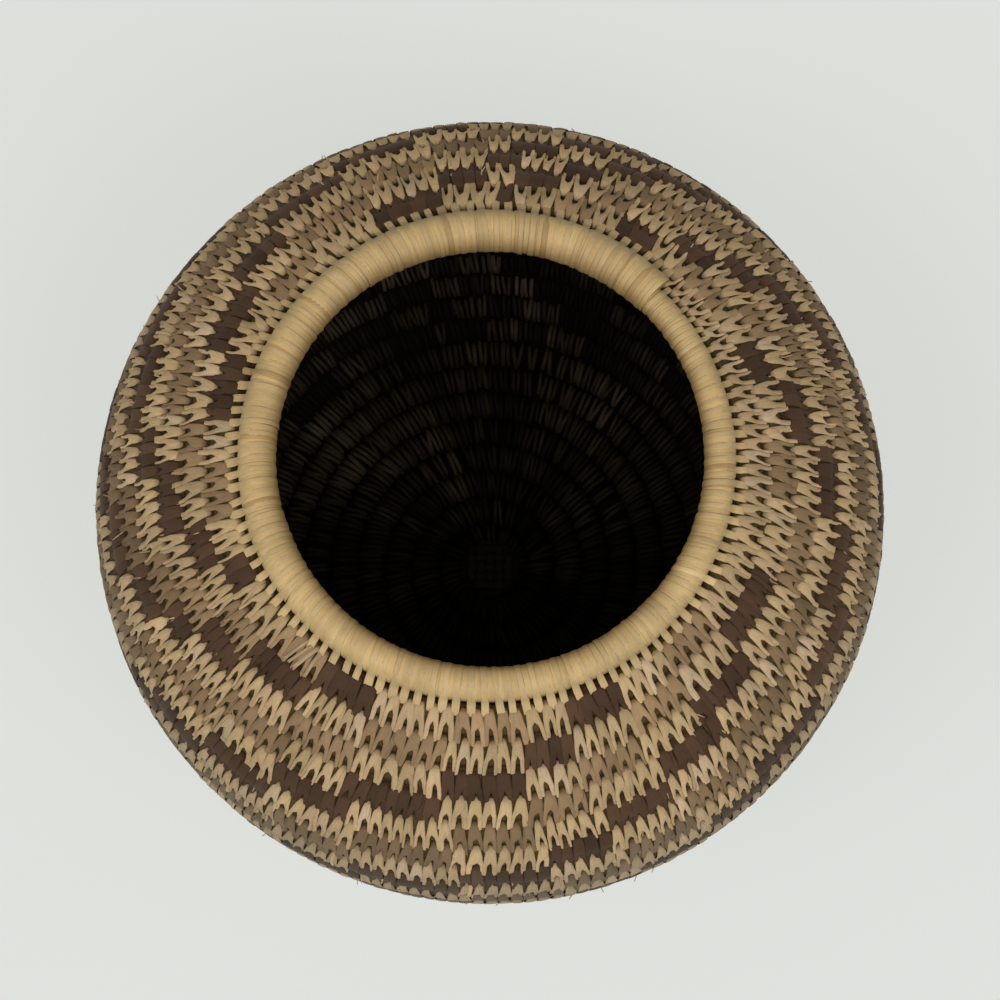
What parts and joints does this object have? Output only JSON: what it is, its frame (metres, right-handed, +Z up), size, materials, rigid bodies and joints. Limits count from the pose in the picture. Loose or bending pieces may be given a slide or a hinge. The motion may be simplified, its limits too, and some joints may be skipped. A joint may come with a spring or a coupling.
{
  "type": "coiled basket",
  "caption": "Round coiled grass basket with a flat base, swelling belly, sloping shoulder sewn in stepped blocks and a bound rim round an open mouth, for small dry goods.",
  "frame": {"origin": "the middle of the flat base, on the ground that the basket stands on", "axes": "+Z up out of the mouth, +X to the picture's right, +Y away from its viewer; the coil's tail meets the rim a little right of and behind the middle"},
  "size_m": [0.2098, 0.2108, 0.1423],
  "materials": {
    "light_yucca": "dry split yucca leaf",
    "worn_yucca": "dry split yucca leaf, greyed by wear",
    "patterned_splints": "dry light, brown and dark splints sewn over grass",
    "beargrass": "dry bundled grass",
    "straw_splints": "smooth bleached splints with a slight sheen"
  },
  "bodies": {
    "root": {"start_knot": "light_yucca", "base_coil": "worn_yucca", "heel_coil": "worn_yucca", "lower_wall_coil": "patterned_splints", "upper_wall_coil": "patterned_splints", "belly_coil": "patterned_splints", "shoulder_coil": "patterned_splints", "coil_tail": "light_yucca", "rim_core": "beargrass", "rim_binding": "straw_splints"}
  },
  "joints": []
}
